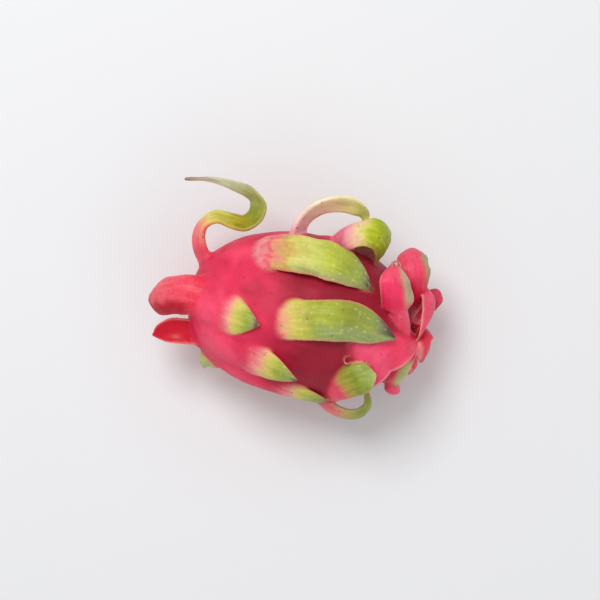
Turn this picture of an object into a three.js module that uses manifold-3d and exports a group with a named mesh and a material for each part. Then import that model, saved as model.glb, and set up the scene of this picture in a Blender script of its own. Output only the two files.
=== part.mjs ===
// A dragon fruit lying on its side: one solid, a plump rind with fleshy leaf-like scales growing out of it.
// Millimetres, +Z up. The origin is the middle of the small flat spot that the fruit rests on.
// +X runs along the fruit from its stem end to its navel, where the flower was.
import * as THREE from "three";
import { mergeVertices } from "three/addons/utils/BufferGeometryUtils.js";
import Module from "manifold-3d";

// ---- Driving dimensions ----
const LENGTH = 107; // rind, stem end to navel, without the scales
const BREADTH = 76; // rind, across
const HEIGHT = 75; // rind, before its underside is pressed flat
const PRESSED = 1.5; // how far the fruit's own weight flattens its underside
const CENTRE = new THREE.Vector3(0, 0, HEIGHT / 2 - PRESSED);

const FULLNESS = 0.9; // exponent of the rind's outline: 1 is an ellipse, less is fuller
const NAVEL_RADIUS = 0.34; // share of the half breadth that the navel's dip takes
const NAVEL_DEPTH = 6;
const STEM_RADIUS = 6;
const STEM_STANDS_OUT = 4; // the cut stub of the stem, beyond the rind
const STEM_INSIDE = 8;

const RIDGE_HEIGHT = 2.4; // each scale's foot runs back along the rind as a low ridge
const RIDGE_LENGTH = 12;
const RIDGE_WIDTH = 7;
const RIDGE_BEHIND = 6; // the ridge's crest lies this far behind the scale's foot

const FOOT_THICKNESS = 5.5; // a scale's thickness where it leaves the rind
const TIP_THICKNESS = 1.6;
const TIP_HALF_WIDTH = 0.9;

const RIND_AROUND = 36;
const RIND_ALONG = 26;
const STEM_AROUND = 16;
const SCALE_AROUND = 8;
const SCALE_RINGS_PER_POINT = 1.8; // rings of a scale for each point of its spine

// ---- Scales shaped one by one ----
// spine: points along its middle, from inside the rind to the tip.
// sides: which way its left edge points, evenly spaced from foot to tip.
// half: its greatest half width, and foot: the foot's share of it.
// widest: where that greatest width is, from 0 at the foot to 1.
// blunt: 1 tapers to a point, more keeps it broad for longer. cup: how far each edge bends in, in radians.
// thick: its thickness at the foot and at the tip, where it isn't the usual one.
// flare: between which places its narrow foot opens out, where that is sudden.
const SCALES = [
  {
    // long strap at the stem shoulder
    spine: [
      [-42, 13, 37], [-50, 20, 41], [-53.2, 27, 43], [-52.4, 34, 45], [-47, 38.5, 45], [-39.5, 38, 43],
      [-33, 38, 42], [-28.5, 43, 42], [-28.5, 49, 44], [-33, 53, 47], [-40, 54.5, 50], [-51, 55.5, 52],
      [-65, 53.4, 53],
    ],
    sides: [
      [0.4, 0.3, 0.8], [0.4, 0.3, 0.8], [0.2, -0.5, 0.8], [0.2, -0.7, 0.6], [0.9, -0.3, 0.4], [0.2, 0.8, 0.5],
      [0, 0.8, 0.6],
    ],
    half: 5.2, foot: 0.9, widest: 0.45, blunt: 1.3, cup: 0.4,
  },
  {
    // broad green scale over the back shoulder
    spine: [
      [-29, 21, 50], [-22, 26, 62], [-12, 28.5, 68], [0, 29, 71], [12, 27.5, 71], [23, 23.5, 68],
      [31.5, 16.5, 62],
    ],
    sides: [[0, 0.85, -0.45], [0.2, 0.9, -0.4]],
    half: 10.4, foot: 0.9, widest: 0.4, blunt: 2.2, cup: 0.5,
  },
  {
    // broad green scale along the top
    spine: [
      [-15, -5, 65], [-7, -3, 73], [2, -1.5, 77], [14, 0.3, 79], [25, 1, 77], [36, -0.5, 73], [45.5, -3, 68],
    ],
    sides: [[0, 1, 0]],
    half: 10, foot: 0.8, widest: 0.45, blunt: 1.8, cup: 0.5,
  },
  {
    // arched scale on the back, which stands on edge
    spine: [
      [-4, 28, 44], [-8, 36, 46], [-7.5, 42.5, 47], [-4.5, 48, 48], [1, 52.5, 49], [7.5, 55, 49],
      [14, 55.5, 49], [19, 54, 48], [22, 51.5, 46], [22.5, 47, 44],
    ],
    sides: [[0.5, 0.2, -0.8], [0.4, -0.2, -0.9], [0.1, -0.5, -0.8], [-0.6, -0.5, -0.5], [-0.9, 0, -0.3]],
    half: 6, foot: 1, widest: 0.05, blunt: 3, cup: 0.4,
  },
  {
    // hooked scale behind the navel end, its tip rolled under
    spine: [
      [9.5, 32, 46], [14.4, 39, 57], [19.3, 42.5, 63], [25, 44, 65], [31, 42.5, 62], [34, 39, 54],
      [32.5, 36.5, 48], [27, 36, 46], [20, 36.5, 48],
    ],
    sides: [[-0.4, 0.7, -0.6], [0.1, 0.8, -0.5], [0.2, 0.9, -0.2], [0.3, 0.9, 0], [0.1, 0.9, 0.2]],
    half: 7.6, foot: 1, widest: 0.35, blunt: 3.5, cup: 0.6,
  },
  {
    // crown: narrow foot, broad blade laid back over the rind
    spine: [
      [49.3, -3, 44], [47.6, 2.5, 54], [46, 7.5, 61], [44, 12.5, 66], [42.2, 18, 70], [40.6, 24, 71],
      [39.3, 28.5, 67], [38.5, 31, 61],
    ],
    sides: [[-1, 0, 0.2], [-1, -0.2, 0.2]],
    half: 8, foot: 0.52, widest: 0.58, blunt: 1.5, cup: 0.6, flare: [0.34, 0.42],
  },
  {
    // crown: tall domed scale at the back of the navel
    spine: [
      [50, 8.5, 30], [53.5, 16, 42], [52.4, 22, 50], [50.5, 28, 55], [48.8, 33.5, 54], [47.5, 38, 47],
      [47, 40.5, 38],
    ],
    sides: [[-0.95, 0, 0.3], [-0.95, -0.2, 0.2]],
    half: 8.6, foot: 0.42, widest: 0.64, blunt: 2.8, cup: 0.8, flare: [0.22, 0.55],
  },
  {
    // crown: scale on edge beside the navel, folded like a boat
    spine: [
      [49.5, 18, 31], [55.6, 21.6, 39], [59, 20, 45.5], [60.4, 14, 47.4], [59.8, 7, 47.8], [57.6, 1, 46],
      [54.8, -3.6, 42.5],
    ],
    sides: [
      [0, -1, 0], [0.3, -0.6, -0.7], [0.55, 0, -0.84], [0.4, 0, -0.92], [-0.1, 0.2, -1], [-0.7, 0, -0.5],
    ],
    half: 5.9, foot: 0.8, widest: 0.45, blunt: 1.3, cup: 0.9, thick: [3.6, 1],
  },
  {
    // crown: short round scale beyond the boat
    spine: [[50, 8, 24], [57.5, 12.5, 28], [60.4, 16.5, 32], [62, 20, 34.5], [62.6, 23.8, 33]],
    sides: [[-0.6, 0.6, 0.4], [-0.8, 0.5, 0.1]],
    half: 4.6, foot: 0.9, widest: 0.5, blunt: 3, cup: 0.5,
  },
  {
    // crown: crumpled scale on the front of the navel
    spine: [[49.5, 1, 28], [56, 0.5, 37], [59.6, -2.5, 42], [61, -7.5, 38], [61, -12.5, 29]],
    sides: [[0.3, 0.8, -0.4], [0.9, 0.3, -0.3]],
    half: 7, foot: 0.8, widest: 0.35, blunt: 1.3, cup: 0.9,
  },
  {
    // broad scale laid back over the front shoulder of the navel end
    spine: [
      [50, 2, 40], [47.5, -2, 54], [42, -6.5, 63.5], [36.8, -12, 66], [33.4, -18.2, 63.2], [31.5, -24, 57],
      [31, -29, 48.5],
    ],
    sides: [[0.9, -0.42, 0], [0.78, -0.62, -0.45], [0.8, -0.55, -0.5]],
    half: 13.4, foot: 0.6, widest: 0.45, blunt: 2.2, cup: 0.3,
  },
  {
    // short round green scale on the front shoulder
    spine: [
      [19.5, -33, 45], [22.1, -30.5, 55], [26.2, -27.5, 62], [30.8, -25, 65.6], [35.6, -22.7, 66.8],
      [39.6, -21, 65],
    ],
    sides: [[-0.5, 0.8, 0.35], [-0.45, 0.85, 0.1]],
    half: 8.6, foot: 0.7, widest: 0.5, blunt: 2, cup: 0.5,
  },
  {
    // curled scale along the front
    spine: [
      [13, -35, 30], [21.5, -41, 33], [29, -43, 34], [35.5, -42, 35], [39.2, -37.2, 36], [38, -32, 37],
      [34, -29.5, 38],
    ],
    sides: [[0, 0.2, 0.98], [0, 0.3, 0.95], [-0.4, 0.3, 0.85], [-0.7, -0.1, 0.7]],
    half: 5.6, foot: 1, widest: 0.1, blunt: 1.5, cup: 0.5,
  },
  {
    // crown: folded scale with a rolled tip, hanging down the front
    spine: [
      [49, -1, 36], [52.8, -6, 43], [52.2, -12, 45.5], [50.8, -18, 44.5], [49.4, -23, 42], [49.2, -26.5, 37.5],
    ],
    sides: [[0.8, 0.2, 0.4], [0.9, 0.1, -0.2]],
    half: 4.8, foot: 0.6, widest: 0.5, blunt: 3, cup: 0.9,
  },
  {
    // its tip, rolled up into a bead
    spine: [[50.2, -23.4, 38.8], [49.3, -26.4, 38], [48.6, -29.4, 36]],
    sides: [[1, 0.1, 0]],
    half: 3.8, foot: 0.95, widest: 0.4, blunt: 4, cup: 0.3, thick: [6.6, 6.4],
  },
  {
    // thick blunt scale over the stem end
    spine: [
      [-35, 1.5, 49], [-44, 1.2, 55.5], [-53, 0.6, 57], [-61, -0.8, 54.5], [-67.5, -2.8, 49], [-72, -5, 40.5],
    ],
    sides: [[0, -1, 0]],
    half: 10.5, foot: 0.9, widest: 0.5, blunt: 5, cup: 0.9,
  },
  {
    // scale at the stem end that shows its hollow side
    spine: [[-38, -16, 32], [-46, -16, 39], [-54, -16.5, 42], [-61.3, -18.4, 41], [-67.8, -21.8, 37.5]],
    sides: [[0, 1, 0.1], [0.2, 0.9, 0.3]],
    half: 7.2, foot: 0.9, widest: 0.5, blunt: 1.4, cup: 0.9, thick: [4, 1.1],
  },
  {
    // short scale on the front of the stem end
    spine: [[-31, -19, 28], [-35.5, -24, 34], [-38.8, -27.2, 35.5], [-41, -30, 33], [-41.5, -33, 28]],
    sides: [[0.7, -0.5, 0.5], [0.9, -0.3, 0.2]],
    half: 6, foot: 1, widest: 0.2, blunt: 1.6, cup: 0.5,
  },
];

// ---- Scales that simply follow the rind ----
// x: where the foot is. turn: round the fruit, in degrees from the top towards -Y.
// rise: how steeply the tip leaves the rind, in degrees from the foot's own direction.
// lean: how far the scale slants round the fruit, in degrees.
const SEATED = [
  { x: -41, turn: 8, length: 28, half: 9, rise: -14, lean: 4 },
  { x: -28, turn: 40, length: 34, half: 9.5, rise: -10, lean: 4 },
  { x: -12, turn: 70, length: 33, half: 9.5, rise: -8, lean: 2 },
  { x: -40, turn: 123, length: 28, half: 8.5, rise: -16, lean: -4 },
  { x: -14, turn: 114, length: 29, half: 9, rise: -8, lean: -3 },
  { x: 20, turn: 128, length: 26, half: 8, rise: -3, lean: 4 },
  { x: -42, turn: 246, length: 27, half: 8.5, rise: -24, lean: 3 },
  { x: -14, turn: 232, length: 30, half: 9, rise: -6, lean: 2 },
  { x: 0, turn: 258, length: 28, half: 8.5, rise: -24, lean: -4 },
  { x: 27, turn: 236, length: 26, half: 8, rise: -3, lean: 2 },
];
const SEAT_CLIMB = 14; // how steeply a seated scale leaves the rind at its foot, in degrees
const SEAT_DEPTH = 3; // how far below the skin it starts
const SEAT_POINTS = 6;

// ---- Scales of the crown's lower side, bent out and back over the rind ----
const BENT_BACK = [
  { turn: 146, half: 6.5, size: 1.05 },
  { turn: 187, half: 7.6, size: 0.95 },
  { turn: 228, half: 6.5, size: 1 },
];
const BENT_FOOT = [47, 9.5]; // x, and how far out from the axis through stem and navel
const BENT_STEPS = [[0, 0], [7, 5], [11, 10.5], [10.5, 16], [6.5, 20], [1.5, 22.5]]; // from there, at size 1

const radians = THREE.MathUtils.degToRad;

// ---- Rind ----
const signedPower = (value, power) => Math.sign(value) * Math.abs(value) ** power;

// A point of the smooth rind, at an angle from the navel's pole and a turn round the fruit.
function rindPoint(fromNavel, turn) {
  const reach = Math.sin(fromNavel) ** FULLNESS;
  const dip = fromNavel < Math.PI / 2 ? NAVEL_DEPTH * Math.max(0, 1 - (reach / NAVEL_RADIUS) ** 2) ** 2 : 0;
  return new THREE.Vector3(
    (LENGTH / 2) * signedPower(Math.cos(fromNavel), FULLNESS) - dip,
    (-BREADTH / 2) * reach * Math.sin(turn),
    (HEIGHT / 2) * reach * Math.cos(turn),
  ).add(CENTRE);
}

function rindNormal(fromNavel, turn) {
  const step = 0.01;
  const along = rindPoint(fromNavel + step, turn).sub(rindPoint(fromNavel - step, turn));
  const round = rindPoint(fromNavel, turn + step).sub(rindPoint(fromNavel, turn - step));
  return along.cross(round).normalize();
}

// The spine of a seated scale climbs away from the rind in the plane of the rind's normal.
function seatedScale({ x, turn, length, half, rise, lean }) {
  const fromNavel = Math.acos(signedPower(x / (LENGTH / 2), 1 / FULLNESS));
  const round = radians(turn);
  const normal = rindNormal(fromNavel, round);
  const heading = rindPoint(fromNavel - 0.02, round).sub(rindPoint(fromNavel, round)).normalize();
  heading.applyAxisAngle(normal, radians(-lean));
  const at = rindPoint(fromNavel, round).addScaledVector(normal, -SEAT_DEPTH);
  const spine = [];
  for (let i = 0; i < SEAT_POINTS; i++) {
    spine.push(at.toArray());
    const climb = radians(SEAT_CLIMB + ((rise - SEAT_CLIMB) * i) / (SEAT_POINTS - 2));
    const step = length / (SEAT_POINTS - 1);
    at.addScaledVector(heading, step * Math.cos(climb)).addScaledVector(normal, step * Math.sin(climb));
  }
  const sides = [normal.clone().cross(heading).toArray()];
  return { spine, sides, half, foot: 0.85, widest: 0.3, blunt: 1.3, cup: 0.5 };
}

function bentBackScale({ turn, half, size }) {
  const outward = new THREE.Vector3(0, -Math.sin(radians(turn)), Math.cos(radians(turn)));
  const spine = BENT_STEPS.map(([ahead, out]) =>
    new THREE.Vector3(BENT_FOOT[0] + size * ahead, 0, CENTRE.z)
      .addScaledVector(outward, BENT_FOOT[1] + size * out)
      .toArray(),
  );
  const sides = [new THREE.Vector3(1, 0, 0).cross(outward).toArray()];
  return { spine, sides, half, foot: 0.7, widest: 0.45, blunt: 1.5, cup: 0.5 };
}

const ALL_SCALES = [...SCALES, ...SEATED.map(seatedScale), ...BENT_BACK.map(bentBackScale)];

// How far the ridges behind the scales' feet lift the rind at a point.
function ridgeLift(point) {
  let lift = 0;
  for (const { spine } of ALL_SCALES) {
    const foot = new THREE.Vector3(...spine[0]);
    const ahead = new THREE.Vector3(...spine[1]).sub(foot);
    ahead.projectOnPlane(foot.clone().sub(CENTRE).normalize()).normalize();
    const away = point.clone().sub(foot).addScaledVector(ahead, RIDGE_BEHIND);
    const along = away.dot(ahead);
    const across = away.addScaledVector(ahead, -along).length();
    lift = Math.max(lift, Math.exp(-((along / RIDGE_LENGTH) ** 2) - (across / RIDGE_WIDTH) ** 2));
  }
  return RIDGE_HEIGHT * lift;
}

// Moves each point of a ball, given as its angle from the +Y pole and its place across and through on its ring.
function reshape(ball, pointAt) {
  const place = ball.getAttribute("position");
  for (let i = 0; i < place.count; i++) {
    const fromPole = Math.acos(THREE.MathUtils.clamp(place.getY(i), -1, 1));
    const ring = Math.hypot(place.getX(i), place.getZ(i));
    const atPole = ring < 1e-6;
    const point = pointAt(fromPole, atPole ? 0 : place.getX(i) / ring, atPole ? 0 : place.getZ(i) / ring);
    place.setXYZ(i, point.x, point.y, point.z);
  }
  return ball;
}

function rindGeometry() {
  return reshape(new THREE.SphereGeometry(1, RIND_AROUND, RIND_ALONG), (fromNavel, across, through) => {
    const point = rindPoint(fromNavel, Math.atan2(across, through));
    const outward = point.clone().sub(CENTRE).normalize();
    return point.addScaledVector(outward, ridgeLift(point));
  });
}

// The cut stub that joined the fruit to its plant.
function stemGeometry() {
  const long = STEM_STANDS_OUT + STEM_INSIDE;
  const stub = new THREE.CylinderGeometry(STEM_RADIUS, STEM_RADIUS, long, STEM_AROUND);
  stub.rotateZ(Math.PI / 2);
  return stub.translate(-LENGTH / 2 + (STEM_INSIDE - STEM_STANDS_OUT) / 2, 0, CENTRE.z);
}

// ---- A scale: a ball stretched along its spine and curved from edge to edge ----
function smooth(points) {
  if (points.length === 1) return null;
  return new THREE.CatmullRomCurve3(points.map((p) => new THREE.Vector3(...p)), false, "catmullrom");
}

function halfWidth({ half, foot, widest, blunt, flare }, along) {
  const opening = flare
    ? THREE.MathUtils.smoothstep(along, ...flare)
    : Math.sin((Math.PI / 2) * (along / widest));
  const share =
    along < widest
      ? foot + (1 - foot) * opening
      : Math.cos((Math.PI / 2) * ((along - widest) / (1 - widest)) ** blunt);
  return Math.max(half * share, TIP_HALF_WIDTH);
}

function scaleGeometry(scale) {
  const path = smooth(scale.spine);
  const edges = smooth(scale.sides);
  const rings = Math.round(SCALE_RINGS_PER_POINT * scale.spine.length);
  return reshape(new THREE.SphereGeometry(1, SCALE_AROUND, rings), (fromFoot, across, through) => {
    const along = fromFoot / Math.PI;
    const ahead = path.getTangent(along);
    const edge = edges ? edges.getPoint(along) : new THREE.Vector3(...scale.sides[0]);
    edge.addScaledVector(ahead, -edge.dot(ahead)).normalize();
    const outward = ahead.clone().cross(edge);
    const [atFoot, atTip] = scale.thick ?? [FOOT_THICKNESS, TIP_THICKNESS];
    const thickness = atTip + (atFoot - atTip) * (1 - along) ** 1.3;
    const bend = halfWidth(scale, along) / scale.cup; // radius of the curve from edge to edge
    const reach = bend + (through * thickness) / 2;
    return path
      .getPoint(along)
      .addScaledVector(edge, reach * Math.sin(across * scale.cup))
      .addScaledVector(outward, reach * Math.cos(across * scale.cup) - bend);
  });
}

// ---- Joining ----
const wasm = await Module();
wasm.setup();

function solidOf(geometry) {
  geometry.deleteAttribute("normal");
  geometry.deleteAttribute("uv");
  const merged = mergeVertices(geometry, 1e-3);
  return new wasm.Manifold(
    new wasm.Mesh({
      numProp: 3,
      vertProperties: new Float32Array(merged.getAttribute("position").array),
      triVerts: new Uint32Array(merged.index.array),
    }),
  );
}

function geometryOf(solid) {
  const mesh = solid.getMesh();
  return new THREE.BufferGeometry()
    .setAttribute("position", new THREE.BufferAttribute(mesh.vertProperties, 3))
    .setIndex(new THREE.BufferAttribute(mesh.triVerts, 1));
}

// Everything below the surface that the fruit rests on.
function belowGeometry() {
  const depth = 40;
  return new THREE.BoxGeometry(4 * LENGTH, 4 * LENGTH, depth).translate(0, 0, -depth / 2);
}

const grown = [rindGeometry(), stemGeometry(), ...ALL_SCALES.map(scaleGeometry)]
  .map(solidOf)
  .reduce((whole, piece) => whole.add(piece));

const dragonFruit = new THREE.Mesh(
  geometryOf(grown.subtract(solidOf(belowGeometry()))),
  new THREE.MeshStandardMaterial({ color: 0xe0325e, roughness: 0.42, metalness: 0 }),
);
dragonFruit.name = "dragon_fruit";

const part = new THREE.Group();
part.add(dragonFruit);

export default part;
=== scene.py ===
"""A dragon fruit lying on its side on a pale surface, seen from straight above.

The rind and each scale are made as closed lofts, joined as distance fields so that every scale grows
smoothly out of the rind, and meshed as one piece. Its colours are laid down spot by spot, from how far each
spot is along its scale, how near the scale's margin and on which face; the material adds the finer grain.
Lengths are in millimetres until the mesh is built, and +X runs from the stem end to the navel, as in the
CAD model. The floor, the lights and the camera are in metres.
"""
import math

import bpy
import numpy as np
import openvdb
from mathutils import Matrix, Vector
from mathutils.kdtree import KDTree


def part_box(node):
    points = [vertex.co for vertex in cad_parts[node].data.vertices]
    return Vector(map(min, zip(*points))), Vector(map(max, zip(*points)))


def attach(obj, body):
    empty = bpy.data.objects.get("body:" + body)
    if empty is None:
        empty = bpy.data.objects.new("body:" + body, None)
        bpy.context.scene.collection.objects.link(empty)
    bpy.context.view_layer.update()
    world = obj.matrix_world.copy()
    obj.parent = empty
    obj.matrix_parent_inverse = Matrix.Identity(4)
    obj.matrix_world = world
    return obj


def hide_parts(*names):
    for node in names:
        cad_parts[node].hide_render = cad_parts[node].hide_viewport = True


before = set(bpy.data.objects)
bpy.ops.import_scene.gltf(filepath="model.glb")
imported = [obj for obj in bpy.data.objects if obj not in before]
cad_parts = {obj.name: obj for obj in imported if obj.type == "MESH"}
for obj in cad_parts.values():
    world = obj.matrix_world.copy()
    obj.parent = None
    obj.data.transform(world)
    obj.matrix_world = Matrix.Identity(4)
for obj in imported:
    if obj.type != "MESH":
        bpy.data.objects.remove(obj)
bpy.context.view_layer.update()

MM = 0.001
FRUIT = "dragon_fruit"
lowest, highest = (np.array(corner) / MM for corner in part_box(FRUIT))

# ---- The rind, as in the CAD model ----
LENGTH, BREADTH, HEIGHT = 107.0, 76.0, 75.0
PRESSED = 1.5  # how much of that the flat spot under it takes away
CENTRE = np.array([0.0, 0.0, HEIGHT / 2 - PRESSED])
FULLNESS = 0.9  # exponent of the outline: 1 is an ellipse, less is fuller
NAVEL_RADIUS, NAVEL_DEPTH = 0.34, 6.0  # the radius is a share of the rind's own
STEM_RADIUS, STEM_STANDS_OUT, STEM_INSIDE = 6.0, 4.0, 8.0
RIDGE_HEIGHT, RIDGE_LENGTH, RIDGE_WIDTH, RIDGE_BEHIND = 2.4, 12.0, 7.0, 6.0
SWELLS = [(0.45, 26, 3), (0.12, 7, 4)]  # height, size and seed of its slight unevenness

# ---- The scales, as in the CAD model, with their colours ----
# spine: its middle line, from foot to tip. sides: which way its left edge lies, at even steps along it.
# half: its greatest half width. widest: where along it that is, from 0 to 1. foot: the foot's share of it.
# blunt: how late it narrows to its tip. cup: how strongly it curves from edge to edge.
# flare: where along it the narrow foot opens out. thick: how thick its foot and its tip are.
# rounded: the share of its length over which each end is rounded off.
# fillet: how broadly its foot flows into the rind.
# colours: what it looks like from its foot, 0, to its tip, 1, with painted light and shade where noted, each
# as red, green and blue from 0 to 255.
# inner: the colour of its hollow face, which on some scales is painted shade. margin: the colour of its very
# edge, and how strongly.
# side: which edge has a colour of its own or of painted light or shade, left (+1) or right (-1), that colour,
# and how far in it reaches.
# flecks: how freckled it is. mottled: how blotchy it is. worn: how dry and bark-like it is.
FOOT_THICKNESS, TIP_THICKNESS, TIP_HALF_WIDTH = 5.5, 1.6, 0.9
ROSY, PALE_PINK, MAROON, OLIVE = (226, 150, 118), (252, 160, 158), (186, 124, 118), (150, 140, 60)
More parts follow.
